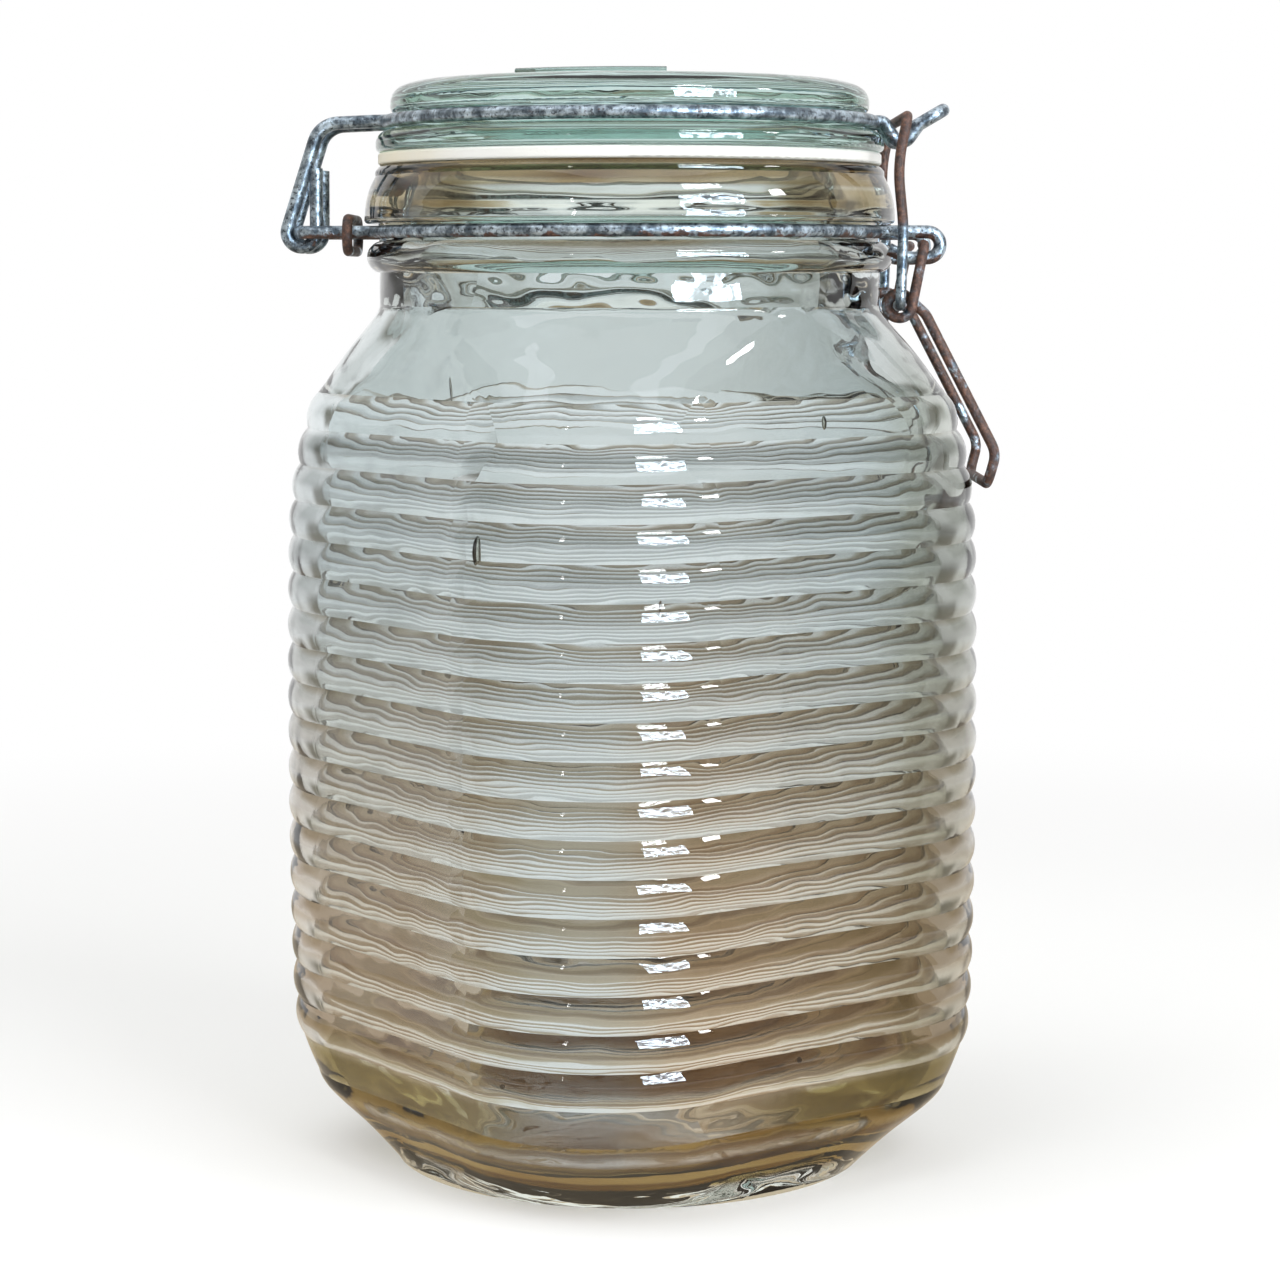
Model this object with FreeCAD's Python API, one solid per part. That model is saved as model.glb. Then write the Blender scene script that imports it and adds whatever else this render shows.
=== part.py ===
import FreeCAD, Part
import os, math
from FreeCAD import Vector as V

# Glass storage jar with a wire bail closure. Millimetres, +Z up, origin in the
# middle of the foot ring. +X is the latch side, -X the hinge side.
# The solids are the jar, its lid and gasket, and the bent wires of the closure.

# ---- jar body: a rounded square in plan, standing on a round foot ----
corner_reach = 68.5          # axis to the crest of a rib, over a corner
corner_radius = 35.8         # rounding of the square's corners at a rib crest
square_turn = 37.0           # one corner faces the front, 8 degrees short of it
rib_count = 18
rib_pitch = 7.08
rib_depth = 1.0              # crest over crease
barrel = 1.0                 # how much narrower the end ribs are than the middle
shoulder_ease = 4.4          # extra the ribs lean in over the top four
shoulder_ease_ribs = 4
heel_ease = 0.6              # extra the two lowest lean in
heel_ease_ribs = 2
heel_height = 15.5           # top of the slope into the foot
heel_band = 7.5              # smooth band between the heel and the first rib
heel_lean = 3.0              # how far that band draws in
heel_bow = 1.3               # how far the slope stands out from a straight cone
foot_radius = 46.4
foot_width = 5.0             # flat ring it stands on
push_up = 3.5                # hollow under the base
wall = 4.8
inner_heel = 4.0             # how far the hollow draws in above its floor
inner_floor_edge = 1.6       # rise of the floor's rounded edge
floor_thickness = 6.5
shoulder_height = 17.1       # last rib to the neck
shoulder_flare = 2.1         # how far it has run out, a fifth of its height below the neck
shoulder_corner = 2.7        # and how square it is there

# ---- neck, heights above where the shoulder ends ----
neck_radius = 49.1
neck_length = 27.3           # to the rim
bead_rise = 9.5
bead_radius = 51.6
bead_below = 3.2             # bead's crest to where it leaves the neck
neck_wire_rise = 14.2
groove_depth = 3.1           # the wire's groove, in from the collar
collar_radius = 52.0         # lower edge of the collar over the wire groove
rim_radius = 49.6
mouth_radius = 42.5
mouth_flare = 1.2            # the mouth's rounded edge

# ---- lid and gasket ----
gasket_thickness = 2.3
gasket_inset = 0.3           # inside the rim's edge
gasket_overhang = 1.0        # into the mouth
gasket_edge = 0.5
lid_flange_radius = 49.8
lid_flange_round = 2.6
lid_disc_radius = 46.9
lid_groove_depth = 0.9       # waist between flange and disc
lid_wire_rise = 6.1          # gasket to the wire in the lid's waist
lid_rise = 13.8              # gasket to the flat top
lid_edge_drop = 3.8          # the disc's side ends this far below its top
lid_top_flat = 40.5
lid_plug_clearance = 3.0     # room the plug needs as the lid tips out
lid_plug_depth = 5.6
lid_skirt = 6.5              # the plug is a skirt this thick round a hollow
lid_plate = 6.4              # glass between the hollow and the top
lid_hollow_dome = 2.2        # the hollow's roof falls this far to its edge
lid_hollow_bend = 6.6        # and has turned down this far below it
relief_outer = 36.5          # two bare raised arcs on top, front and back
relief_inner = 27.0
relief_sweep = 47.0          # degrees
relief_turn = 12.5           # the arcs stand this far round from the front
relief_height = 1.2
relief_edge = 0.5

# ---- closure wires ----
neck_wire = 2.5              # diameters
lid_wire = 2.6
thin_wire = 2.0              # link and lever
fit_gap = 0.3                # running clearance between wires that move
seat_gap = 0.25              # wire to the glass it lies in
leg_bend = 3.0
tip_bend = 3.2
hairpin_bend = 2.6
knee_bend = 5.0

hairpin_length = 13.4        # neck ring to the bar that the lid turns on
hook_spread = 7.0            # the lid wire's hooks, half apart
hook_tail = 12.4             # length of the hook's free end above the bar
knee_out = 3.6               # bend of the lid wire above the bar
knee_drop = 0.5              # and below the wire in the lid's waist
tie_out = 4.1                # neck ring to the tie round the hairpin
tie_slack = 0.85

eye_spread = 17.0            # the neck wire's eyes, half apart
eye_out = 6.6                # neck ring to the round end of an eye
eye_length = 7.3             # free end to the round end
eye_tail_lift = 1.7          # its free end turns up

tongue_spread = 4.6
dip_gap = 0.8                # the tongue's dip clears the flange
dip_slope = 2.45             # run of the tongue down into its dip
tongue_bend = 1.45
dip_width = 2.1
dip_depth = 3.7
dip_bends = [1.4, 1.3, 1.3, 2.0]
tongue_climb = 2.3           # dip to the tongue's straight
tongue_length = 5.0
tongue_lift = 2.9
bar_in_dip = 0.95            # where the link's bar crosses the dip
bar_lift = 0.45              # over the wire in the lid's waist

coil_inset = 2.15            # the coil's inner side, inside the neck ring
coil_leave = 49.0            # degrees round the coil where the handle leaves it
coil_slack = 0.05            # its turns round the link's wire, over the running clearance
coil_corners = 7
coil_pitch_gap = 0.1         # between its turns
pivot_out = 4.7              # the coil's middle to the lever's pivot in the eyes
pivot_rise = 11.6
pivot_stub = 0.8             # the pivot's end, past the eye
pivot_bend = 1.35
link_waist = 1.3             # how far the link's legs bow in
link_end = 0.6               # its ends, past the coils
link_bends = [1.6, 40.0, 30.0, 2.4]
elbow_out = 5.2              # link's eye to where the handle leaves the coil
elbow_drop = 1.7
grip_lean = 27.2             # degrees the handle hangs out from upright
grip_run = 29.9              # elbow to the handle's heel
grip_end = 6.2               # heel to the tip
grip_curl = 42.1             # degrees the tip turns back in
grip_gap = 0.6               # the handle to the glass at least
elbow_bend = 4.0
heel_bend = 5.0
grip_bend = 3.0

# sizes that follow
rib_start = heel_height + heel_band
rib_top = rib_start + rib_count * rib_pitch
corner_centre = (corner_reach - corner_radius) / math.sqrt(2)
neck_base = rib_top + shoulder_height
rim_height = neck_base + neck_length
bead_height = neck_base + bead_rise
neck_wire_height = neck_base + neck_wire_rise
gasket_top = rim_height + gasket_thickness
lid_wire_height = gasket_top + lid_wire_rise
lid_top = gasket_top + lid_rise
plug_radius = mouth_radius - lid_plug_clearance
neck_groove = collar_radius - groove_depth
neck_ring = neck_groove + neck_wire / 2 + seat_gap
lid_groove = lid_disc_radius - lid_groove_depth
lid_ring = lid_groove + lid_wire / 2 + seat_gap
hinge_x = -(neck_ring + hairpin_length)
hairpin_spread = hook_spread + lid_wire / 2 + 2 * fit_gap + neck_wire / 2
slot_gap = neck_wire + thin_wire + 2 * seat_gap      # strand to strand of an eye
eye_end = neck_ring + eye_out
arm_spread = eye_spread + neck_wire / 2 + fit_gap + thin_wire / 2
coil_radius = thin_wire + fit_gap + coil_slack
handle_spread = arm_spread - thin_wire - coil_pitch_gap
link_spread = arm_spread + thin_wire + fit_gap
link_eye_x = neck_ring - coil_inset + coil_radius + thin_wire / 2
pivot_x = link_eye_x + pivot_out
pivot_height = neck_wire_height - slot_gap / 2
link_eye_height = pivot_height - pivot_rise
dip_x = lid_flange_radius + lid_wire / 2 + dip_gap
link_bar_x = dip_x + bar_in_dip
link_bar_height = lid_wire_height + bar_lift


# ---------------------------------------------------------------- helpers
def line(a, b):
    return Part.LineSegment(a, b).toShape()


def arc(a, m, b):
    return Part.Arc(a, m, b).toShape()


def unit(v):
    return V(v).normalize()


def turned(v, axis_point, deg):
    """A point of the XZ plane turned about the Y direction, X towards Z."""
    d = v - axis_point
    c, s = math.cos(math.radians(deg)), math.sin(math.radians(deg))
    return axis_point + V(c * d.x - s * d.z, d.y, s * d.x + c * d.z)


def bent(points, radii):
    """Straight runs through the points, joined by tangent arcs at the inner ones."""
    edges, start = [], points[0]
    for i, r in enumerate(radii, 1):
        p = points[i]
        u, w = unit(points[i - 1] - p), unit(points[i + 1] - p)
        half = u.getAngle(w) / 2
        reach = r / math.tan(half)
        a, b = p + u * reach, p + w * reach
        middle = p + unit(u + w) * (r / math.sin(half) - r)
        if start.distanceToPoint(a) > 1e-6:
            edges.append(line(start, a))
        edges.append(arc(a, middle, b))
        start = b
    if start.distanceToPoint(points[-1]) > 1e-6:
        edges.append(line(start, points[-1]))
    return edges


def rod(edges, diameter):
    """A round wire along a chain of edges."""
    path = Part.Wire(edges)
    e = edges[0]
    at = e.valueAt(e.FirstParameter)
    along = e.tangentAt(e.FirstParameter)
    if at.distanceToPoint(path.OrderedVertexes[0].Point) > 1e-4:
        raise ValueError("the wire's path starts at its other end")
    ring = Part.Wire(Part.makeCircle(diameter / 2, at, along))
    sweep = Part.BRepOffsetAPI.MakePipeShell(path)
    sweep.setFrenetMode(True)
    sweep.add(ring)
    sweep.build()
    sweep.makeSolid()
    return sweep.shape()


def profile(points):
    """A face in the XZ plane from a chain of (r, z) points; a triple (r, z, "arc")
    is the middle of an arc between its neighbours."""
    edges, i = [], 0
    pts = list(points) + [points[0]]
    while i < len(pts) - 1:
        a, n = pts[i], pts[i + 1]
        if len(n) == 3:
            b = pts[i + 2]
            edges.append(arc(V(a[0], 0, a[1]), V(n[0], 0, n[1]), V(b[0], 0, b[1])))
            i += 2
        else:
            edges.append(line(V(a[0], 0, a[1]), V(n[0], 0, n[1])))
            i += 1
    return Part.Face(Part.Wire(edges))


def spun(points):
    return profile(points).revolve(V(0, 0, 0), V(0, 0, 1), 360)


def rounded(a, corner, b):
    """Points for spun() of a round from a to b inside this corner."""
    share = 1 - math.sqrt(0.5)
    r, z = (c + share * (p + q - 2 * c) for p, c, q in zip(a, corner, b))
    return [a, (r, z, "arc"), b]


def square_section(z, reach, centre):
    """Rounded square with this corner reach; centre is the corner circles' offset.
    With no offset it is a circle, cut where the flats would begin."""
    radius = reach - centre * math.sqrt(2)
    cut = 12.0 if centre < 0.5 else 0.0       # degrees of each corner left to the flat

    def on(quarter, deg):
        a = math.radians(45 + 90 * quarter)
        b = math.radians(90 * quarter + deg)
        middle = V(math.cos(a), math.sin(a), 0) * (centre * math.sqrt(2)) + V(0, 0, z)
        return middle + V(math.cos(b), math.sin(b), 0) * radius

    edges = []
    for q in range(4):
        start, end, after = on(q, cut), on(q, 90 - cut), on(q + 1, cut)
        edges.append(arc(start, on(q, 45), end))
        edges.append(arc(end, on(q, 90), after) if cut else line(end, after))
    return Part.Wire(edges)


def lofted(sections):
    return Part.makeLoft([square_section(*s) for s in sections], True, False)


def lean(z):
    """How far the ribs stand in from the widest ones at this height."""
    middle = (rib_start + rib_top) / 2
    drop = barrel * ((z - middle) / (rib_top - middle)) ** 2
    last = rib_top - shoulder_ease_ribs * rib_pitch
    first = rib_start + heel_ease_ribs * rib_pitch
    if z > last:
        drop += shoulder_ease * ((z - last) / (rib_top - last)) ** 2
    if z < first:
        drop += heel_ease * ((first - z) / (first - rib_start)) ** 2
    return drop


# ---------------------------------------------------------------- the jar
def shoulder_sections():
    """(height, corner reach, corner centre) from the last rib's crease to the neck."""
    reach = corner_reach - rib_depth - lean(rib_top)
    rise, run = neck_base - rib_top, reach - neck_radius
    inner = [(rib_top + rise * t, neck_radius + run * f, corner_centre * k)
             for t, f, k in ((0.30, 0.70, 0.66), (0.58, 0.41, 0.34))]
    inner.append((rib_top + rise * 0.80, neck_radius + shoulder_flare, shoulder_corner))
    return [(rib_top, reach, corner_centre)] + inner + [(neck_base, neck_radius, 0.0)]


def latch_side(reach, centre, y):
    """X of the glass on the latch side, in the section with this reach and centre."""
    corner = math.radians(square_turn - 45)
    h = centre * math.sqrt(2)
    across = y - h * math.sin(corner)
    return h * math.cos(corner) + math.sqrt((reach - h) ** 2 - across ** 2)


def ribbed_wall():
    """The ribs are one profile, turned round each corner and run along each flat."""
    def u(z, crest):
        return corner_radius - lean(z) - (0 if crest else rib_depth)

    edges = []
    for k in range(rib_count):
        z0 = rib_start + k * rib_pitch
        z1, zm = z0 + rib_pitch, z0 + rib_pitch / 2
        edges.append(arc(V(u(z0, False), 0, z0), V(u(zm, True), 0, zm), V(u(z1, False), 0, z1)))
    bottom, top = V(u(rib_start, False), 0, rib_start), V(u(rib_top, False), 0, rib_top)
    edges += [line(top, V(0, 0, rib_top)), line(V(0, 0, rib_top), V(0, 0, rib_start)),
              line(V(0, 0, rib_start), bottom)]
    outline = Part.Face(Part.Wire(edges))
    c = corner_centre
    corner = outline.revolve(V(0, 0, 0), V(0, 0, 1), 90)
    corner.translate(V(c, c, 0))
    flat = outline.extrude(V(0, 2 * c, 0))
    flat.translate(V(c, -c, 0))
    core = Part.makeBox(2 * c, 2 * c, rib_top - rib_start, V(-c, -c, rib_start))
    pieces = []
    for q in range(4):
        for s in (corner, flat):
            p = s.copy()
            p.rotate(V(0, 0, 0), V(0, 0, 1), 90 * q)
            pieces.append(p)
    return core.multiFuse(pieces).removeSplitter()


def neck():
    """Neck, bead, wire groove and collar up to the rim."""
    low = neck_wire_height - neck_wire / 2 - 2 * seat_gap
    high = neck_wire_height + neck_wire / 2 + 1.6 * seat_gap
    collar = collar_radius - 0.6, (high + rim_height) / 2, "arc"
    return spun([
        (0, neck_base), (neck_radius, neck_base), (neck_radius, bead_height - bead_below),
        (bead_radius, bead_height, "arc"), (neck_groove + 0.3, low),
        (neck_groove, neck_wire_height, "arc"), (neck_groove + 0.4, high),
        (collar_radius - 0.7, high + 0.05), (collar_radius - 0.1, high + 0.4, "arc"),
        (collar_radius, high + 1.1), collar, (rim_radius + 0.25, rim_height - 2.2),
        (rim_radius - 0.2, rim_height - 0.6, "arc"), (rim_radius - 1.6, rim_height),
        (0, rim_height)])


def heel_sections():
    """From the foot up a nearly straight slope, and the smooth band below the ribs."""
    crease = corner_reach - rib_depth - lean(rib_start)
    edge = crease - heel_lean
    slope = [(heel_height * t,
              foot_radius + (edge - foot_radius) * t + heel_bow * math.sin(math.pi * t ** 3),
              corner_centre * t ** 0.8) for t in (0, 0.17, 0.38, 0.62, 0.82, 1)]
    band = [slope[-1], ((heel_height + rib_start) / 2, crease - heel_lean * 0.45, corner_centre),
            (rib_start, crease, corner_centre)]
    return slope, band


def hollow():
    """The inside: floor, belly and throat in one run of lofts, and the mouth."""
    c = corner_centre
    low, middle, high = (corner_reach - rib_depth - lean(z) - wall
                         for z in (rib_start, (rib_start + rib_top) / 2, rib_top))
    floor = floor_thickness
    belly_low = (rib_start + rib_pitch / 2, low, c)
    belly_high = (rib_top - 2 * rib_pitch, low - 0.6, c)
    throat_reach = neck_radius + (high + wall - neck_radius) * 0.46 - wall
    bowl = lofted([(floor, foot_radius - wall * 1.6, 0.0),
                   (floor + inner_floor_edge, foot_radius + 1.0, c * 0.35),
                   (heel_height, low - inner_heel, c * 0.85), belly_low])
    belly = lofted([belly_low, ((rib_start + rib_top) / 2, middle, c), belly_high])
    throat = lofted([belly_high, (rib_top - 0.7, high - 0.6, c * 0.9),
                     (rib_top + (neck_base - rib_top) * 0.42, throat_reach, c * 0.42),
                     (neck_base - 1.5, mouth_radius + 1.6, 0.0), (bead_height, mouth_radius, 0.0)])
    above = rim_height + 1
    mouth = Part.makeCylinder(mouth_radius, above - bead_height, V(0, 0, bead_height))
    lip = mouth_radius + mouth_flare
    flare = spun([(0, rim_height - mouth_flare)]
                 + rounded((mouth_radius, rim_height - mouth_flare), (mouth_radius, rim_height),
                           (lip, rim_height)) + [(lip, above), (0, above)])
    return bowl.fuse([belly, throat, mouth, flare])


def jar():
    slope, band = heel_sections()
    outside = lofted(slope).fuse([lofted(band), ribbed_wall(), lofted(shoulder_sections()), neck()])
    well = foot_radius - foot_width
    dome = (well ** 2 + push_up ** 2) / (2 * push_up)
    under = Part.makeSphere(dome, V(0, 0, push_up - dome))
    under = under.common(Part.makeCylinder(well, push_up + 1, V(0, 0, -0.5)))
    body = outside.cut([hollow(), under])
    body.rotate(V(0, 0, 0), V(0, 0, 1), square_turn)
    return body


# ---------------------------------------------------------------- gasket, lid
def gasket():
    inner, outer = mouth_radius - gasket_overhang, rim_radius - gasket_inset
    low, high, e = rim_height, gasket_top, gasket_edge
    return spun([(inner, low)] + rounded((outer - e, low), (outer, low), (outer, low + e))
                + rounded((outer, high - e), (outer, high), (outer - e, high)) + [(inner, high)])


def relief_arc(facing):
    """A low curved bar with rounded shoulders."""
    low, top, e = lid_top - 1.0, lid_top + relief_height, relief_edge
    a, b = relief_inner, relief_outer
    outline = ([(a, low), (b, low)] + rounded((b, top - e), (b, top), (b - e, top))
               + rounded((a + e, top), (a, top), (a, top - e)))
    bar = profile(outline).revolve(V(0, 0, 0), V(0, 0, 1), relief_sweep)
    bar.rotate(V(0, 0, 0), V(0, 0, 1), facing - relief_turn - relief_sweep / 2)
    return bar


def lid():
    """Plug with a domed hollow, flange, waist for the wire, and disc."""
    seat = gasket_top
    flange_top = lid_wire_height - lid_wire / 2 - 0.35
    disc_low = lid_wire_height + lid_wire / 2 + 0.4
    foot = seat - lid_plug_depth
    roof = lid_top - lid_plate
    hollow_edge = plug_radius - lid_skirt
    plug, flange, disc, r = plug_radius, lid_flange_radius, lid_disc_radius, lid_flange_round
    body = spun(
        [(0, roof), (hollow_edge * 0.5, roof - 0.5, "arc"), (hollow_edge - 4.0, roof - lid_hollow_dome),
         (hollow_edge - 1.0, roof - 4.2, "arc"), (hollow_edge, roof - lid_hollow_bend),
         (hollow_edge + 0.6, foot + 1.5), (hollow_edge + 1.6, foot + 0.2, "arc"),
         (hollow_edge + 3.0, foot)]
        + rounded((plug - 2.0, foot), (plug, foot), (plug, foot + 2.0))
        + rounded((plug, seat - 1.0), (plug, seat), (plug + 1.0, seat))
        + rounded((flange - 1.3, seat), (flange, seat), (flange, seat + 1.3))
        + rounded((flange, flange_top - r), (flange, flange_top), (flange - r, flange_top))
        + [(lid_groove + 0.35, flange_top), (lid_groove, lid_wire_height, "arc"),
           (lid_groove + 0.35, disc_low), (disc - 0.3, disc_low + 0.25, "arc"), (disc, disc_low + 1.1),
           (disc, lid_top - lid_edge_drop), (disc - 0.7, lid_top - 1.9, "arc"),
           (disc - 2.5, lid_top - 0.65), ((disc + lid_top_flat) / 2 - 0.9, lid_top - 0.15, "arc"),
           (lid_top_flat - 0.5, lid_top), (0, lid_top)])
    return body.fuse([relief_arc(quarter) for quarter in (-90, 90)])


# ---------------------------------------------------------------- wires
def ring_exit(ring, spread, side, z, bend, front):
    """Where a half ring bends away into a straight strand along X. Returns the
    ring's end, the middle of the bend and the strand's start."""
    y = -1 if front else 1
    cx = side * math.sqrt((ring + bend) ** 2 - (spread + bend) ** 2)
    centre = V(cx, y * (spread + bend), z)
    on_ring = V(centre.x, centre.y, 0) * (ring / (ring + bend)) + V(0, 0, z)
    on_line = V(cx, y * spread, z)
    return on_ring, centre + unit((on_ring - centre) + (on_line - centre)) * bend, on_line


def ring_arc(a, b, ring, z, front):
    return arc(a, V(0, -ring if front else ring, z), b)


def mirrored(p):
    return V(p.x, -p.y, p.z)


def two_sided(front_edges, joining):
    """A path made of front edges, a joining run across, and the front edges mirrored back."""
    back = [e.mirror(V(0, 0, 0), V(0, 1, 0)) for e in reversed(front_edges)]
    return front_edges + joining + back


def neck_loop():
    """One wire: eye, half ring, hairpin, half ring, eye."""
    z, ring, bend = neck_wire_height, neck_ring, leg_bend
    r_on, r_mid, r_line = ring_exit(ring, eye_spread, 1, z, bend, True)
    l_on, l_mid, l_line = ring_exit(ring, hairpin_spread, -1, z, bend, True)
    y = -eye_spread
    low = z - slot_gap
    half = slot_gap / 2
    tail = bent([V(eye_end - eye_length, y, low + eye_tail_lift), V(eye_end - eye_length / 2, y, low),
                 V(eye_end, y, low)], [leg_bend])
    turn = arc(V(eye_end, y, low), V(eye_end + half, y, z - half), V(eye_end, y, z))
    front = tail + [turn, line(V(eye_end, y, z), r_line), arc(r_line, r_mid, r_on),
                    ring_arc(r_on, l_on, ring, z, True), arc(l_on, l_mid, l_line)]
    h = hairpin_spread
    tip = bent([l_line, V(hinge_x, -h, z), V(hinge_x, h, z), mirrored(l_line)], [hairpin_bend] * 2)
    return rod(two_sided(front, tip), neck_wire)


def tie_ring():
    """A closed oval of thin wire that holds the hairpin's legs together."""
    half_y = hairpin_spread + neck_wire / 2 + fit_gap + thin_wire / 2
    half_z = neck_wire / 2 + thin_wire / 2 + tie_slack
    z = neck_wire_height - tie_slack * 0.65
    tie_x = -(neck_ring + tie_out)
    y = half_y - half_z
    path = [line(V(tie_x, -y, z + half_z), V(tie_x, y, z + half_z)),
            arc(V(tie_x, y, z + half_z), V(tie_x, y + half_z, z), V(tie_x, y, z - half_z)),
            line(V(tie_x, y, z - half_z), V(tie_x, -y, z - half_z)),
            arc(V(tie_x, -y, z - half_z), V(tie_x, -y - half_z, z), V(tie_x, -y, z + half_z))]
    return rod(path, thin_wire)


def lid_bail():
    """One wire: hook, half ring, tongue, half ring, hook."""
    z, ring = lid_wire_height, lid_ring
    l_on, l_mid, l_line = ring_exit(ring, hook_spread, -1, z, leg_bend, True)
    r_on, r_mid, r_line = ring_exit(ring, tongue_spread, 1, z, tongue_bend, True)
    y = -hook_spread
    hook = neck_wire / 2 + fit_gap + lid_wire / 2
    bar = V(hinge_x, y, neck_wire_height)
    knee = V(hinge_x + knee_out, y, z - knee_drop)
    # the strand comes down from the knee tangent to the hook's circle
    d = bar - knee
    dist = math.hypot(d.x, d.z)
    slant = math.atan2(d.z, d.x) - math.asin(hook / dist)
    reach = math.sqrt(dist ** 2 - hook ** 2)
    touch = knee + V(math.cos(slant), 0, math.sin(slant)) * reach
    under = bar + V(0, 0, -hook)
    out = bar + V(hook, 0, 0)
    hook_arc = arc(out, turned(under, bar, 0), touch)
    tail = line(out + V(0, 0, hook_tail), out)
    leg = bent([touch, knee, l_line], [knee_bend])
    front = [tail, hook_arc] + leg + [arc(l_line, l_mid, l_on), ring_arc(l_on, r_on, ring, z, True),
                                      arc(r_on, r_mid, r_line)]
    y = -tongue_spread
    far = dip_x + dip_width
    climb = far + tongue_climb
    dip = [r_line, V(dip_x - dip_slope, y, z), V(dip_x, y, z - dip_depth), V(far, y, z - dip_depth),
           V(climb, y, z - knee_drop)]
    tip = V(climb + tongue_length, y, z - knee_drop + tongue_lift)
    tongue = bent(dip + [tip, mirrored(tip)] + [mirrored(p) for p in reversed(dip)],
                  dip_bends + [tip_bend] * 2 + dip_bends[::-1])
    return rod(two_sided(front, tongue), lid_wire)


def link():
    """The thin U that is pulled over the tongue; its ends turn in the lever's coils."""
    y = -link_spread
    inner = -(handle_spread - thin_wire / 2 - link_end)
    eye, bar = V(link_eye_x, y, link_eye_height), V(link_bar_x, y, link_bar_height)
    rise = link_bar_height - link_eye_height
    hip = V(link_eye_x + 0.5, y, link_eye_height + rise * 0.42)
    waist = V((link_eye_x + link_bar_x) / 2 - link_waist, y, link_eye_height + rise * 0.74)
    half = [V(link_eye_x, inner, link_eye_height), eye, hip, waist, bar]
    return rod(bent(half + [mirrored(p) for p in reversed(half)], link_bends + link_bends[::-1]),
               thin_wire)


def coil_points(centre, y0, y1, start_deg, sweep_deg):
    """Corners of a helical turn about the Y direction, clockwise in XZ. The arcs that
    round them run on the coil's circle. Both end runs lie in their own plane."""
    step = sweep_deg / coil_corners
    out = coil_radius / math.cos(math.radians(step / 2))
    points = []
    for i in range(coil_corners):
        a = math.radians(start_deg - step * (i + 0.5))
        along = i / (coil_corners - 1)
        points.append(V(centre.x + out * math.cos(a), y0 + (y1 - y0) * along,
                        centre.z + out * math.sin(a)))
    return points


def handle_points(elbow, lean_deg):
    """Heel and tip of the handle, hung this far out from upright."""
    run, end = math.radians(lean_deg), math.radians(lean_deg - grip_curl)
    heel = elbow + V(math.sin(run), 0, -math.cos(run)) * grip_run
    return heel, heel + V(math.sin(end), 0, -math.cos(end)) * grip_end


def handle_clears(elbow, heel, tip):
    """Whether the handle's legs and its end clear the shoulder and the ribs."""
    crests = [rib_top - rib_pitch * (k + 0.5) for k in range(rib_count // 2)]
    glass = shoulder_sections() + [(z, corner_reach - lean(z), corner_centre) for z in crests]
    room = thin_wire / 2 + grip_gap
    for z, reach, centre in glass:
        for upper, lower, y in ((elbow, heel, elbow.y), (heel, tip, 0)):
            if lower.z - thin_wire < z < upper.z:
                down = min(1.0, (upper.z - z) / (upper.z - lower.z))
                if upper.x + (lower.x - upper.x) * down < latch_side(reach, centre, y) + room:
                    return False
    return True


def lever():
    """One wire: pivot stub, arm and coil each side, and the handle between them. The
    handle hangs at grip_lean, or as far out as the glass pushes it."""
    pivot = V(pivot_x, -arm_spread, pivot_height)
    eye = V(link_eye_x, -arm_spread, link_eye_height)
    d = eye - pivot
    down = math.atan2(d.z, d.x) + math.asin(coil_radius / math.hypot(d.x, d.z))
    start_deg = math.degrees(down) + 90
    turn = coil_points(eye, -arm_spread, -handle_spread, start_deg, start_deg + 360 - coil_leave)
    stub = V(pivot_x, -(eye_spread - neck_wire / 2 - pivot_stub), pivot_height)
    elbow = V(link_eye_x + elbow_out, -handle_spread, link_eye_height - elbow_drop)
    lean_deg = grip_lean
    while not handle_clears(elbow, *handle_points(elbow, lean_deg)):
        lean_deg += 0.5
    half = [stub, pivot] + turn + [elbow, *handle_points(elbow, lean_deg)]
    radii = [pivot_bend] + [coil_radius * 0.9] * coil_corners + [elbow_bend, heel_bend, grip_bend]
    return rod(bent(half + [mirrored(p) for p in reversed(half)], radii + radii[::-1]), thin_wire)


solids = {
    "glass_jar": jar,
    "gasket": gasket,
    "lid": lid,
    "neck_wire": neck_loop,
    "tie_ring": tie_ring,
    "lid_wire": lid_bail,
    "link": link,
    "lever": lever,
}

os.makedirs("parts", exist_ok=True)
for name, make in solids.items():
    shape = make()
    if shape.ShapeType == "Compound" and len(shape.Solids) == 1:
        shape = shape.Solids[0]
    box = shape.BoundBox
    print(name, shape.ShapeType, len(shape.Solids), "valid", shape.isValid(),
          "volume", round(shape.Volume), "faces", len(shape.Faces),
          "box", [round(v, 1) for v in (box.XMin, box.YMin, box.ZMin, box.XMax, box.YMax, box.ZMax)])
    shape.exportStep("parts/" + name + ".step")
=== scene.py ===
import bmesh
import bpy
import math
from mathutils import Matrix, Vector


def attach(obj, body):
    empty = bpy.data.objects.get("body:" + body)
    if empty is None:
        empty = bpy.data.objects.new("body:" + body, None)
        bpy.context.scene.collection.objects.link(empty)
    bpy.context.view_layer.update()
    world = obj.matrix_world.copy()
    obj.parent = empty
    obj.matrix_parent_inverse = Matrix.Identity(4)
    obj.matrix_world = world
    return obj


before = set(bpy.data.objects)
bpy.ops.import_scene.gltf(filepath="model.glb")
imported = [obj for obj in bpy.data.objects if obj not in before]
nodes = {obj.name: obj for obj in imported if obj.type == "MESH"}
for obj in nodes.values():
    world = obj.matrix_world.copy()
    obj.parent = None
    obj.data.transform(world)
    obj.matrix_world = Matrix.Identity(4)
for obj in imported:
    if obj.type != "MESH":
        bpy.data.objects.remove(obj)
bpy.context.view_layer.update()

# A glass storage jar with a wire bail closure. Metres; +X is the latch side, -Y the front.

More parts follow.
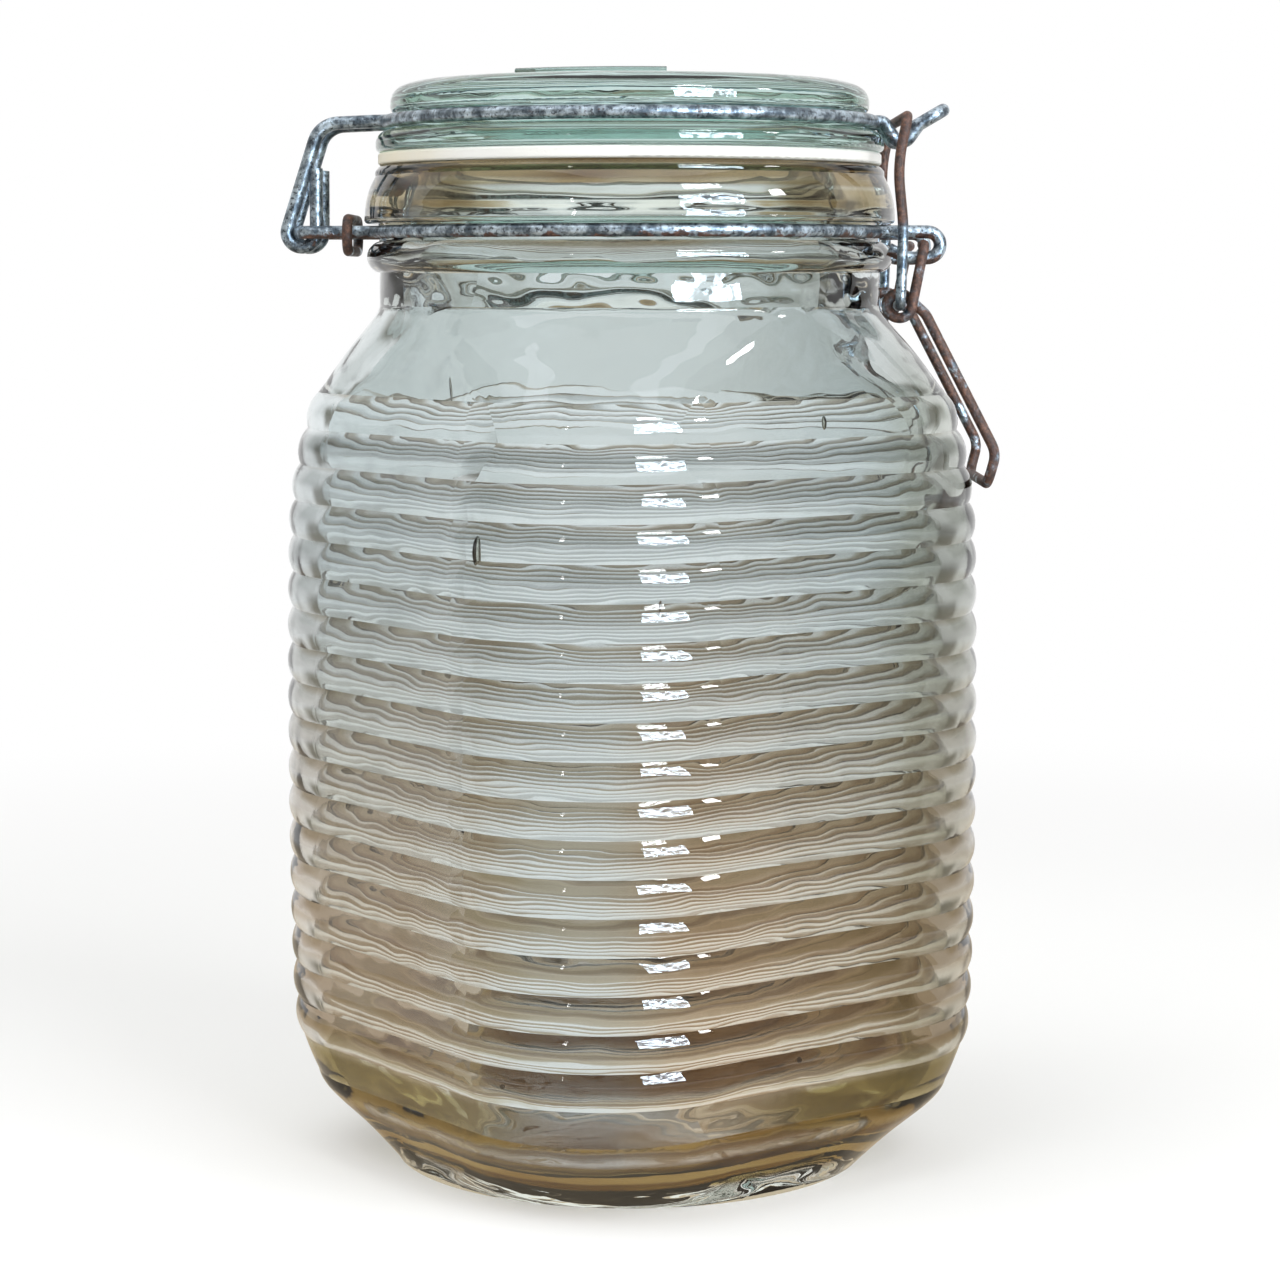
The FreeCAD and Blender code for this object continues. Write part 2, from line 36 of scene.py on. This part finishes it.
# ------------------------------------------------------------ camera
AXIS_DISTANCE = 0.650         # camera to the jar's axis
EYE_HEIGHT = 0.1742
EYE_SIDE = 0.0020
LOOK_DOWN = 3.736             # degrees
LENS = 92.67                  # millimetres, on a 36 mm sensor
SENSOR = 36.0
RISE = -0.12                  # the frame stands this much lower than the lens looks

camera = bpy.data.objects.new("camera", bpy.data.cameras.new("camera"))
bpy.context.scene.collection.objects.link(camera)
camera.data.lens = LENS
camera.data.sensor_width = SENSOR
camera.data.shift_y = RISE
camera.location = (EYE_SIDE, -AXIS_DISTANCE, EYE_HEIGHT)
camera.rotation_euler = (math.radians(90 - LOOK_DOWN), 0, 0)
bpy.context.scene.camera = camera


# ------------------------------------------------------------ shader maths
class Value:
    """A socket of a finish. Arithmetic on it adds Math nodes to that finish."""

    def __init__(self, finish, socket):
        self.finish = finish
        self.socket = socket

    def math(self, operation, *others):
        sockets = {0: self, **{i: other for i, other in enumerate(others, 1)}}
        return self.finish.node("ShaderNodeMath", {"operation": operation}, sockets)

    def __add__(self, other):
        return self.math("ADD", other)

    def __sub__(self, other):
        return self.math("SUBTRACT", other)

    def __rsub__(self, other):
        return self.finish.node("ShaderNodeMath", {"operation": "SUBTRACT"}, {0: other, 1: self})

    def __mul__(self, other):
        return self.math("MULTIPLY", other)

    def __truediv__(self, other):
        return self.math("DIVIDE", other)

    def __pow__(self, other):
        return self.math("POWER", other)

    __radd__ = __add__
    __rmul__ = __mul__

    def clamped(self):
        return self.math("MINIMUM", 1.0).math("MAXIMUM", 0.0)

    def step(self, low, high):
        """0 at low, 1 at high, smooth between."""
        return self.finish.node("ShaderNodeMapRange", {"interpolation_type": "SMOOTHSTEP"},
                                {"Value": self, "From Min": low, "From Max": high})

    def band(self, low, high, soft):
        """1 between low and high, with soft edges."""
        return self.step(low - soft, low + soft) * (1 - self.step(high - soft, high + soft))


class Finish:
    """The node tree of one finish, or of a world."""

    def __init__(self, name, owner=None):
        self.material = owner or bpy.data.materials.new(name)
        self.material.use_nodes = True
        self.tree = self.material.node_tree
        self.tree.nodes.clear()

    def node(self, kind, settings=None, sockets=None, out=0):
        """Add a node: its settings go in first, then the values or links of its sockets."""
        made = self.tree.nodes.new(kind)
        for name, value in (settings or {}).items():
            if name == "stops":
                self.set_stops(made.color_ramp, value)
            else:
                setattr(made, name, value)
        for name, value in (sockets or {}).items():
            if isinstance(value, Value):
                self.tree.links.new(value.socket, made.inputs[name])
            elif isinstance(value, tuple) and made.inputs[name].type == "RGBA":
                made.inputs[name].default_value = (*value, 1.0)
            else:
                made.inputs[name].default_value = value
        return Value(self, made.outputs[out])

    def set_stops(self, ramp, stops):
        while len(ramp.elements) < len(stops):
            ramp.elements.new(0.5)
        for element, (position, colour) in zip(ramp.elements, stops):
            element.position = position
            element.color = (*colour, 1.0)

    def place(self):
        """The point on the piece, in the piece's own metres."""
        return self.node("ShaderNodeTexCoord", out="Object")

    def axes(self, vector):
        split = self.node("ShaderNodeSeparateXYZ", sockets={0: vector}).socket.node
        return [Value(self, split.outputs[i]) for i in range(3)]

    def stretched(self, vector, scale):
        return self.node("ShaderNodeVectorMath", {"operation": "MULTIPLY"}, {0: vector, 1: scale})

    def noise(self, vector, scale, detail=3.0, rough=0.55):
        return self.node("ShaderNodeTexNoise", None, {"Vector": vector, "Scale": scale,
                                                      "Detail": detail, "Roughness": rough})

    def mix(self, factor, a, b):
        return self.node("ShaderNodeMix", {"data_type": "RGBA"}, {"Factor": factor, 6: a, 7: b},
                         out=2)

    def tint(self, factor, a, b):
        """b multiplied into a, as far as factor says."""
        return self.node("ShaderNodeMix", {"data_type": "RGBA", "blend_type": "MULTIPLY"},
                         {"Factor": factor, 6: a, 7: b}, out=2)

    def bump(self, height, distance, strength=1.0):
        return self.node("ShaderNodeBump", None, {"Height": height, "Distance": distance,
                                                  "Strength": strength})

    def ray(self, kind):
        """1 for rays of this kind."""
        return self.node("ShaderNodeLightPath", out=kind)

    def emission(self, colour, strength):
        return self.node("ShaderNodeEmission", None, {"Color": colour, "Strength": strength})

    def blend(self, factor, a, b):
        return self.node("ShaderNodeMixShader", None, {0: factor, 1: a, 2: b})

    def surface(self, lamps_pass=None, **sockets):
        """The Principled surface. lamps_pass is the tint of lamplight that glass lets through."""
        names = {name.replace("_", " "): value for name, value in sockets.items()}
        shader = self.node("ShaderNodeBsdfPrincipled", None, names)
        if lamps_pass is not None:
            clear = self.node("ShaderNodeBsdfTransparent", None, {"Color": lamps_pass})
            shader = self.blend(self.ray("Is Shadow Ray"), shader, clear)
        self.output(shader)

    def output(self, shader, kind="ShaderNodeOutputMaterial"):
        end = self.tree.nodes.new(kind)
        self.tree.links.new(shader.socket, end.inputs["Surface"])


# ------------------------------------------------------------ jar glass
RIB_START = 0.0230
RIB_PITCH = 0.00708
RIB_COUNT = 18
RIB_TOP = RIB_START + RIB_PITCH * RIB_COUNT
CORNER_CENTRE = 0.0231        # middle of a corner's rounding, out along the square's own axes
CORNER_RADIUS = 0.0358        # and its radius at the ribs' crests
SQUARE_TURN = 37.0            # degrees from the X axis to the middle of a flat
BETWEEN_SKINS = (0.0042, 0.0032)   # depths in from the crests, within the wall

# where the tones change across the jar: each pair is where the change starts and ends
COOL_STREAK = (-0.032, 0.002)
SIDES = (0.018, 0.050)
RIGHT_SIDE = (0.044, 0.062)
SHOULDER_TURN = (0.0, 0.050)
BEHIND = (-0.005, 0.030)
HEEL_SIDES = (0.012, 0.036)
NECK_ENDS = (0.030, 0.042)
COLLAR_TURN = (0.031, 0.038)
RIB_REFLECTION_PHASES = (0.22, 0.62)     # as parts of a rib's pitch

# heights of the zones
RIM_GREEN = (0.0030, 0.0050)  # the foot's pale green ends between these
FOOT_RING = (0.0395, 0.0420)  # and is outside these radii
AMBER_EDGE = (0.0106, 0.0120)
HEEL_LINE = (0.0120, 0.0131)
OLIVE = (0.0135, 0.0225)
TABLE_REFLECTION_FADE = (0.030, 0.125)         # a painted reflection of a table grows down through these, so the glass looks warmer
SHOULDER = (RIB_TOP - 0.001, 0.1700)
WAVY_NECK = (0.1680, 0.1850)
NECK = (0.1750, 0.1850)
COLLAR_HIGHLIGHT_BAND = (0.1850, 0.1896)
SMOOTH_COLLAR = (0.1850, 0.1870)
COLLAR_SHADE_BAND = (0.1894, 0.1904)

# tones
COOL_GLASS = (0.84, 0.89, 0.90)
# painted reflection of a brownish table, low on the body
TABLE_REFLECTION_TINT = (0.875, 0.835, 0.76)
# painted shade at the body's sides
SIDE_SHADE = (0.89, 0.905, 0.905)
# painted shade, darker and browner at the body's right edge
RIGHT_SIDE_SHADE = (0.76, 0.745, 0.68)
# painted shade on the shoulder, darker on the right
SHOULDER_SHADE_LEFT = (0.88, 0.89, 0.88)
SHOULDER_SHADE_RIGHT = (0.79, 0.80, 0.79)
# painted reflections in the ribs: grey high on the body, brownish low down
RIB_REFLECTION_GREY = (0.38, 0.39, 0.385)
RIB_REFLECTION_BROWN = (0.445, 0.33, 0.235)
# the heel's olive and amber: the thick glass's own tint with a painted reflection of a brownish
# table
OLIVE_TINT_AND_REFLECTION = (0.46, 0.40, 0.17)
DARK_AMBER_TINT_AND_REFLECTION = (0.12, 0.05, 0.004)
LIGHT_AMBER_TINT_AND_REFLECTION = (0.22, 0.125, 0.02)
# painted highlight along the heel's edge
HEEL_HIGHLIGHT = (0.95, 0.95, 0.92)
FOOT_GREEN = (0.88, 0.93, 0.86)
NECK_DARK = (0.66, 0.67, 0.64)
NECK_LIGHT = (0.88, 0.90, 0.89)
# painted shade at the neck's sides
NECK_SIDE_SHADE = (0.72, 0.70, 0.66)
# painted highlight on the collar round the wire
COLLAR_HIGHLIGHT_SOFT = (0.88, 0.92, 0.88)
COLLAR_HIGHLIGHT_WHITE = (0.96, 1.0, 0.98)
# painted shade at the collar's sides
COLLAR_END_SHADE = (0.42, 0.36, 0.23)
# painted shade under the gasket, dark brownish
COLLAR_SHADE_DARK = (0.14, 0.075, 0.02)
COLLAR_SHADE_BROWN = (0.34, 0.26, 0.13)
JAR_LAMPLIGHT = (0.62, 0.61, 0.57)


def outside_of(f, x, y):
    """1 on the body's outer skin, 0 on its inside."""
    turn = math.radians(SQUARE_TURN)
    u = (x * math.cos(turn) + y * math.sin(turn)).math("ABSOLUTE")
    v = (y * math.cos(turn) - x * math.sin(turn)).math("ABSOLUTE")
    du = (u - CORNER_CENTRE).math("MAXIMUM", 0.0)
    dv = (v - CORNER_CENTRE).math("MAXIMUM", 0.0)
    inner, outer = [CORNER_RADIUS - depth for depth in BETWEEN_SKINS]
    return ((du * du + dv * dv) ** 0.5).step(inner, outer)


def body_tone(f, x, y, z, aside, cloud):
    """Cool above and warmer below, where a painted reflection of a brownish table grows down the
    body; painted shade darkens the sides, the right side and the shoulder; painted brownish
    reflections lie in the ribs.
    """
    # painted reflection of a brownish table, growing down the body and weaker in a cool streak
    # left of the middle
    low = 1 - z.step(*TABLE_REFLECTION_FADE)
    table_reflection = low * (1 - x.band(*COOL_STREAK, 0.012) * 0.85)
    body = f.mix(table_reflection, COOL_GLASS, TABLE_REFLECTION_TINT)
    # painted shade: the body is darker towards its sides
    body = f.tint(aside.step(*SIDES), body, SIDE_SHADE)
    # painted shade at the body's right edge
    body = f.tint(x.step(*RIGHT_SIDE), body, RIGHT_SIDE_SHADE)
    # painted shade on the shoulder, darker on the right
    shoulder_shade = f.mix(x.step(*SHOULDER_TURN), SHOULDER_SHADE_LEFT, SHOULDER_SHADE_RIGHT)
    body = f.tint(z.band(*SHOULDER, 0.0015), body, shoulder_shade)
    # painted reflection: each rib is brownish in its upper half, where it bends the view down onto
    # the table, and lighter towards the crease below it
    phase = ((z - RIB_START) / RIB_PITCH).math("FRACT")
    ribs = z.band(RIB_START, RIB_TOP, 0.0006) * outside_of(f, x, y)
    rib_reflection = phase.step(*RIB_REFLECTION_PHASES) * ribs * (1 - (low - table_reflection) * 0.65)
    rib_reflection_tone = f.mix(table_reflection, RIB_REFLECTION_GREY, RIB_REFLECTION_BROWN)
    return f.tint(rib_reflection * (0.55 + cloud * 0.8).clamped(), body, rib_reflection_tone)


def heel_tone(f, body, x, y, z, aside, patchy):
    """Olive above the heel's edge, amber below it, and a pale green foot. The olive and amber are
    partly the thick glass's own tint and partly a painted reflection of a brownish table; the
    white line at the heel's edge is a painted highlight.
    """
    behind = y.step(*BEHIND)
    # olive and amber: the thick glass's own tint with a painted reflection of a brownish table
    olive = z.band(*OLIVE, 0.0012) * aside.step(*HEEL_SIDES) * (1 - behind * 0.6)
    body = f.tint(olive, body, OLIVE_TINT_AND_REFLECTION)
    amber = (1 - z.step(*AMBER_EDGE)) * (1 - behind * 0.45)
    body = f.mix(amber, body, f.mix(patchy, DARK_AMBER_TINT_AND_REFLECTION, LIGHT_AMBER_TINT_AND_REFLECTION))
    # painted highlight: a near-white line along the heel's edge
    body = f.mix(z.band(*HEEL_LINE, 0.0004) * 0.8, body, HEEL_HIGHLIGHT)
    foot = (1 - z.step(*RIM_GREEN)) * ((x * x + y * y) ** 0.5).step(*FOOT_RING)
    return f.mix(foot, body, FOOT_GREEN)


def neck_tone(f, body, z, aside, cloud, patchy):
    """The neck is greyer, with painted shade at its sides; the collar has a pale painted highlight
    round the wire, painted shade at its two sides, and dark brownish painted shade under the
    gasket.
    """
    neck = z.band(*NECK, 0.0012)
    body = f.tint(neck, body, f.mix(patchy, NECK_DARK, NECK_LIGHT))
    # painted shade at the neck's sides
    body = f.tint(neck * aside.step(*NECK_ENDS), body, NECK_SIDE_SHADE)
    # painted highlight: the collar is pale round the wire
    pale = z.band(*COLLAR_HIGHLIGHT_BAND, 0.0005)
    body = f.mix(pale, body, f.mix(patchy, COLLAR_HIGHLIGHT_SOFT, COLLAR_HIGHLIGHT_WHITE))
    # painted shade: the collar's sides are darker and brownish
    ends = (aside + cloud * 0.014).step(*COLLAR_TURN)
    body = f.mix(pale * ends, body, COLLAR_END_SHADE)
    # painted shade: the collar is dark brownish under the gasket
    return f.mix(z.step(*COLLAR_SHADE_BAND), body, f.mix(patchy, COLLAR_SHADE_DARK, COLLAR_SHADE_BROWN))


def jar_glass():
    f = Finish("jar_glass")
    place = f.place()
    x, y, z = f.axes(place)
    aside = x.math("ABSOLUTE")
    cloud = f.noise(f.stretched(place, (1, 1, 3)), 42.0, 1.0)
    patchy = cloud.step(0.38, 0.64)
    body = body_tone(f, x, y, z, aside, cloud)
    body = heel_tone(f, body, x, y, z, aside, patchy)
    body = neck_tone(f, body, z, aside, cloud, patchy)
    # pressed glass waves slowly all over, more on the neck and less on the collar
    waves = f.noise(f.stretched(place, (1, 1, 1.8)), 70.0, 1.0)
    ripple = f.noise(f.stretched(place, (1, 1, 0.6)), 330.0, 0.0)
    swell = 1 + z.band(*WAVY_NECK, 0.001) * 0.35 - z.step(*SMOOTH_COLLAR) * 0.6
    height = waves * swell + ripple * 0.020 * (1 - z.step(RIB_TOP, RIB_TOP + 0.004))
    f.surface(lamps_pass=JAR_LAMPLIGHT, Base_Color=body, Roughness=0.0, IOR=1.52,
              Transmission_Weight=1.0, Normal=f.bump(height, 0.0010, 0.5))
    return f.material


# ------------------------------------------------------------ lid glass
LID_GREEN = (0.56, 0.735, 0.72)
LID_PALE = (0.64, 0.80, 0.775)
FLANGE_GREEN = (0.78, 0.85, 0.81)
FLANGE = (0.1965, 0.2022)
LID_LAMPLIGHT = (0.86, 0.92, 0.90)


def lid_glass():
    f = Finish("lid_glass")
    place = f.place()
    z = f.axes(place)[2]
    body = f.mix(f.noise(place, 60.0, 1.0), LID_GREEN, LID_PALE)
    body = f.tint(z.band(*FLANGE, 0.0006), body, FLANGE_GREEN)
    waves = f.noise(f.stretched(place, (1, 1, 2.0)), 90.0, 1.0)
    f.surface(lamps_pass=LID_LAMPLIGHT, Base_Color=body, Roughness=0.0, IOR=1.50,
              Transmission_Weight=1.0, Normal=f.bump(waves, 0.0005, 0.35))
    return f.material


# ------------------------------------------------------------ flaws in the wall
# name, x, height, half width, half length, lean in degrees
BUBBLES = [
    ("seed_long", -0.0281, 0.1230, 0.00095, 0.0028, 8),
    ("seed_right", 0.0365, 0.1464, 0.00055, 0.0012, 0),
    ("seed_line", -0.0332, 0.1525, 0.00035, 0.0024, -12),
]
GRAINS = [
    ("grain_middle", 0.0057, 0.1150, 0.00030, 0.0012, 4),
    ("grain_right", 0.0320, 0.0285, 0.00060, 0.0005, 0),
    ("grain_left", -0.0233, 0.0266, 0.00050, 0.0004, 0),
]
SKIN_OVER_FLAW = 0.0004
AIR_IN_GLASS = 1 / 1.52       # air inside glass bends light the other way round
BUBBLE_TONE = (0.80, 0.80, 0.76)
GRAIN_BLACK = (0.05, 0.03, 0.02)
GRAIN_BROWN = (0.16, 0.11, 0.07)


def bubble_air():
    f = Finish("bubble_air")
    f.output(f.node("ShaderNodeBsdfGlass", None, {"Color": BUBBLE_TONE, "Roughness": 0.0,
                                                  "IOR": AIR_IN_GLASS}))
    return f.material


def dark_grain():
    f = Finish("dark_grain")
    tone = f.mix(f.noise(f.place(), 3000.0, 1.0), GRAIN_BLACK, GRAIN_BROWN)
    f.surface(Base_Color=tone, Roughness=0.6)
    return f.material


def in_the_wall(name, x, height, half_width, half_length, lean, finish):
    """A long drop inside the front wall, just under its surface."""
    hit = nodes["glass_jar"].ray_cast(Vector((x, -1.0, height)), Vector((0, 1, 0)))
    spot, normal = hit[1], hit[2]
    centre = spot - normal * (half_width * 1.6 + SKIN_OVER_FLAW)
    turn = math.radians(lean)
    drop = bmesh.new()
    bmesh.ops.create_uvsphere(drop, u_segments=20, v_segments=12, radius=1.0)
    for vertex in drop.verts:
        across = vertex.co.x * half_width
        deep = vertex.co.y * half_width
        along = vertex.co.z * half_length
        vertex.co = centre + Vector((across * math.cos(turn) + along * math.sin(turn), deep,
                                     along * math.cos(turn) - across * math.sin(turn)))
    mesh = bpy.data.meshes.new(name)
    drop.to_mesh(mesh)
    drop.free()
    mesh.materials.append(finish)
    for polygon in mesh.polygons:
        polygon.use_smooth = True
    made = bpy.data.objects.new(name, mesh)
    bpy.context.scene.collection.objects.link(made)
    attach(made, "jar")


# ------------------------------------------------------------ rubber
RUBBER_WHITE = (0.88, 0.88, 0.84)
RUBBER_YELLOWED = (0.84, 0.78, 0.62)
YELLOWED_SIDE = (-0.050, 0.010)


def white_rubber():
    f = Finish("white_rubber")
    place = f.place()
    x = f.axes(place)[0]
    yellowed = f.noise(place, 30.0, 3.0) * (1 - x.step(*YELLOWED_SIDE))
    body = f.mix(yellowed.step(0.30, 0.62), RUBBER_WHITE, RUBBER_YELLOWED)
    grain = f.noise(place, 2500.0, 3.0)
    f.surface(Base_Color=body, Roughness=0.62, Normal=f.bump(grain, 0.0002, 0.4))
    return f.material


# ------------------------------------------------------------ wires
ZINC_DARK = (0.08, 0.105, 0.13)
ZINC_BRIGHT = (0.57, 0.67, 0.75)
PIT_BLACK = (0.03, 0.035, 0.045)
RUST_STOPS = [(0.34, (0.022, 0.014, 0.012)), (0.52, (0.075, 0.034, 0.022)),
              (0.72, (0.21, 0.095, 0.055))]
LINK_WAIST = (0.1840, 0.1880)
SHINE = 0.8                   # how metallic clean zinc is


def wire(name, rust_and_shade):
    """Galvanised wire with dark pits; the function passed in says where rust goes, and on the neck
    wire also where its underside is painted dark as shade.
    """
    f = Finish(name)
    place = f.place()
    z = f.axes(place)[2]
    cloud = f.noise(place, 420.0, 4.0, 0.65)
    pits = f.noise(place, 1500.0, 3.0, 0.6)
    zinc = f.mix(cloud.step(0.36, 0.70), ZINC_DARK, ZINC_BRIGHT)
    zinc = f.mix(pits.step(0.54, 0.64) * 0.85, zinc, PIT_BLACK)
    rust_tone = f.noise(place, 900.0, 4.0, 0.7)
    rust = f.node("ShaderNodeValToRGB", {"stops": RUST_STOPS}, {"Fac": rust_tone})
    mask = rust_and_shade(f, place, z)
    height = pits * 0.5 + cloud * 0.3 + rust_tone * mask
    f.surface(Base_Color=f.mix(mask, zinc, rust), Metallic=(1 - mask) * SHINE,
              Roughness=0.30 + mask * 0.26 + cloud * 0.08, Normal=f.bump(height, 0.00025, 0.7))
    return f.material


def rust_and_underside_shade(f, place, z):
    """Rust in patches, and painted shade: the mask leans towards the wire's underside."""
    up = f.axes(f.node("ShaderNodeTexCoord", out="Normal"))[2]
    patches = f.noise(place, 300.0, 4.0, 0.6)
    # rust in patches, with painted shade darkening the underside
    return (patches + up * -0.16).step(0.56, 0.66)


def rust_patches(f, place, z):
    return f.noise(place, 260.0, 4.0, 0.6).step(0.62, 0.72)


def rust_top(f, place, z):
    """The link is rusted above its waist."""
    return (z + f.noise(place, 300.0, 3.0) * 0.006).step(*LINK_WAIST)


def rust_all(f, place, z):
    return f.noise(place, 350.0, 3.0).step(0.30, 0.48)


# ------------------------------------------------------------ pieces
finishes = {
    "glass_jar": jar_glass(),
    "lid": lid_glass(),
    "gasket": white_rubber(),
    "neck_wire": wire("neck_wire_zinc", rust_and_underside_shade),
    "lid_wire": wire("lid_wire_zinc", rust_patches),
    "link": wire("link_wire", rust_top),
    "lever": wire("lever_wire", rust_all),
    "tie_ring": wire("tie_wire", rust_all),
}
for name, material in finishes.items():
    mesh = nodes[name].data
    mesh.materials.clear()
    mesh.materials.append(material)
    for polygon in mesh.polygons:
        polygon.use_smooth = True

bpy.context.view_layer.update()
air = bubble_air()
grain = dark_grain()
for bubble in BUBBLES:
    in_the_wall(*bubble, air)
for speck in GRAINS:
    in_the_wall(*speck, grain)

# ------------------------------------------------------------ floor and sky
AMBIENT = 0.55                # what the sky lights the jar with; seen directly it is white
FLOOR_SIZE = 8.0
FLOOR_PALE = (0.92, 0.92, 0.91)
TABLE_BROWN = (0.54, 0.44, 0.30)   # how glass and wire mirror the floor
WHITE = (1, 1, 1)
FLOOR_FADE = (0.25, 0.60)     # the floor turns to plain white between these radii


def seen_directly(f):
    """1 for what the camera, a reflection or a view through glass sees."""
    camera_ray, glossy_ray = f.ray("Is Camera Ray"), f.ray("Is Glossy Ray")
    return camera_ray.math("MAXIMUM", glossy_ray).math("MAXIMUM", f.ray("Is Transmission Ray"))


def sky_strength(f):
    return AMBIENT + seen_directly(f) * (1 - AMBIENT)


def floor_finish():
    f = Finish("floor")
    x, y = f.axes(f.place())[:2]
    near = f.node("ShaderNodeBsdfDiffuse", None, {"Color": FLOOR_PALE})
    bright = f.emission(WHITE, 0.95)
    near = f.blend(f.ray("Is Transmission Ray") * 0.55 + 0.28, near, bright)
    near = f.blend(f.ray("Is Glossy Ray") * 0.80, near, f.emission(TABLE_BROWN, 1.0))
    far = f.emission(WHITE, sky_strength(f))
    f.output(f.blend(((x * x + y * y) ** 0.5).step(*FLOOR_FADE), near, far))
    return f.material


def studio_sheet(name, spots, faces, finish):
    """The floor or a card, which belong to the studio and not to the jar."""
    mesh = bpy.data.meshes.new(name)
    mesh.from_pydata(spots, [], faces)
    mesh.materials.append(finish)
    made = bpy.data.objects.new(name, mesh)
    bpy.context.scene.collection.objects.link(made)
    return made


half = FLOOR_SIZE / 2
studio_sheet("floor", [(-half, -half, 0), (half, -half, 0), (half, half, 0), (-half, half, 0)],
             [(0, 1, 2, 3)], floor_finish())

world = bpy.data.worlds.new("studio")
bpy.context.scene.world = world
sky = Finish("studio", world)
sky.output(sky.node("ShaderNodeBackground", None, {"Color": WHITE, "Strength": sky_strength(sky)}),
           "ShaderNodeOutputWorld")

# ------------------------------------------------------------ lamps and cards
# azimuth 0 is over the camera, turning to the right
MIDDLE = 0.11                 # the height that lamps and cards are set about
CARD_STEPS = 12


def lamp(name, azimuth, elevation, distance, size, power):
    """A soft lamp aimed at the jar."""
    data = bpy.data.lights.new(name, "AREA")
    data.shape = "RECTANGLE"
    data.size, data.size_y = size
    data.energy = power
    made = bpy.data.objects.new(name, data)
    bpy.context.scene.collection.objects.link(made)
    a, e = math.radians(azimuth), math.radians(elevation)
    aim = Vector((0, 0, MIDDLE))
    ray = Vector((math.sin(a) * math.cos(e), -math.cos(a) * math.cos(e), math.sin(e)))
    made.location = aim + distance * ray
    made.rotation_euler = (made.location - aim).to_track_quat("Z", "Y").to_euler()
    made.visible_glossy = False
    made.visible_transmission = False


lamp("key", 41, 34, 1.0, (0.60, 0.66), 7.0)
lamp("top", -60, 62, 1.2, (1.0, 1.0), 8.0)


def around(azimuth, elevation, radius):
    a, e = math.radians(azimuth), math.radians(elevation)
    return (radius * math.sin(a), -radius * math.cos(a), MIDDLE + radius * math.tan(e))


def card(name, azimuths, elevations, finish, radius=1.0, through=False):
    """A curved card round the jar, out of the camera's sight, that reflections show. through
    says that a view through the glass shows it too."""
    spots = [around(azimuths[0] + (azimuths[1] - azimuths[0]) * i / CARD_STEPS, elevation, radius)
             for i in range(CARD_STEPS + 1) for elevation in elevations]
    faces = [(2 * i, 2 * i + 1, 2 * i + 3, 2 * i + 2) for i in range(CARD_STEPS)]
    made = studio_sheet(name, spots, faces, finish)
    made.visible_camera = False
    made.visible_diffuse = False
    made.visible_shadow = False
    made.visible_transmission = through


def glow(name, tone, strength):
    f = Finish(name)
    f.output(f.emission(tone, strength))
    return f.material


def panes(name, tone, strength, patchy, fine):
    """A window's light, broken up by what stands outside it."""
    f = Finish(name)
    outside = f.noise(f.stretched(f.place(), (7, 7, 12)), 1.6 * fine, 2.0, 0.7)
    power = strength * (1 - patchy) + outside.step(0.42, 0.56) * (strength * patchy)
    f.output(f.emission(tone, power))
    return f.material


def shade(name, tone, depth, rise):
    """A dull stretch of the room, fading into the white round it; depth and rise are its
    (low, high) metres back from the jar and up."""
    f = Finish(name)
    y, z = f.axes(f.place())[1:]
    dull = y.band(*depth, 0.10) * z.band(*rise, 0.10)
    f.output(f.emission(f.mix(dull, WHITE, tone), 1.0))
    return f.material


card("window_top", (24, 43), (35, 42), panes("window_top", (0.90, 0.96, 1.0), 34.0, 0.9, 1.0))
card("window_low", (21, 50), (2, 27), panes("window_low", (0.72, 0.86, 1.0), 38.0, 0.90, 0.8))
card("window_side", (65, 72), (25, 31), glow("window_side", WHITE, 26.0))
card("glint", (-25.5, -24), (12, 22), panes("glint", WHITE, 30.0, 0.9, 0.6))
card("ceiling_strip", (-80, 80), (52, 62), glow("ceiling_strip", (0.93, 0.95, 1.0), 2.5))
room = glow("room_behind_the_camera", (0.40, 0.37, 0.32), 1.0)
card("room", (-100, 100), (-4, 38), room, radius=1.3, through=True)
dull_room = shade("dull_room", (0.24, 0.235, 0.20), (0.40, 0.72), (0.16, 0.56))
card("flag_right", (100, 150), (-2, 34), dull_room, through=True)
card("flag_left", (-150, -100), (-2, 34), dull_room, through=True)

bpy.context.scene.view_settings.view_transform = "Standard"
